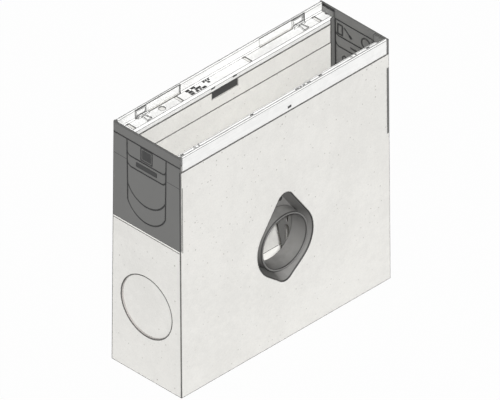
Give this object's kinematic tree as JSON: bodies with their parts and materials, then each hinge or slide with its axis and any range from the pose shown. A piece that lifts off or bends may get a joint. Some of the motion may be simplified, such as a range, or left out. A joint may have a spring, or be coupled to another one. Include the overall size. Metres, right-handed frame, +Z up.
{
  "type": "channel drain inlet box",
  "caption": "Deep narrow concrete inlet box for a channel drain, with galvanised edge rails, cut-out end plates and a round pipe socket low in one long side.",
  "frame": {"origin": "middle of the base, on the surface that the box stands on", "axes": "+X along the box, +Y across it away from the side with the pipe socket, +Z up"},
  "size_m": [0.5, 0.168, 0.495],
  "materials": {
    "concrete": "fine porous fibre concrete, matt",
    "galvanised_steel": "galvanised sheet, satin",
    "end_plate_plastic": "moulded, fine texture",
    "socket_plastic": "moulded, satin",
    "tag_plastic": "moulded black, matt"
  },
  "bodies": {
    "root": {"concrete_body": "concrete", "edge_rail_left": "galvanised_steel", "edge_rail_right": "galvanised_steel", "end_plate_inlet": "end_plate_plastic", "end_plate_outlet": "end_plate_plastic", "pipe_socket": "socket_plastic", "locking_lug_left_inlet": "galvanised_steel", "locking_lug_left_outlet": "galvanised_steel", "locking_lug_right_inlet": "galvanised_steel", "locking_lug_right_outlet": "galvanised_steel", "rail_tag_left": "tag_plastic", "rail_tag_right": "tag_plastic"}
  },
  "joints": []
}
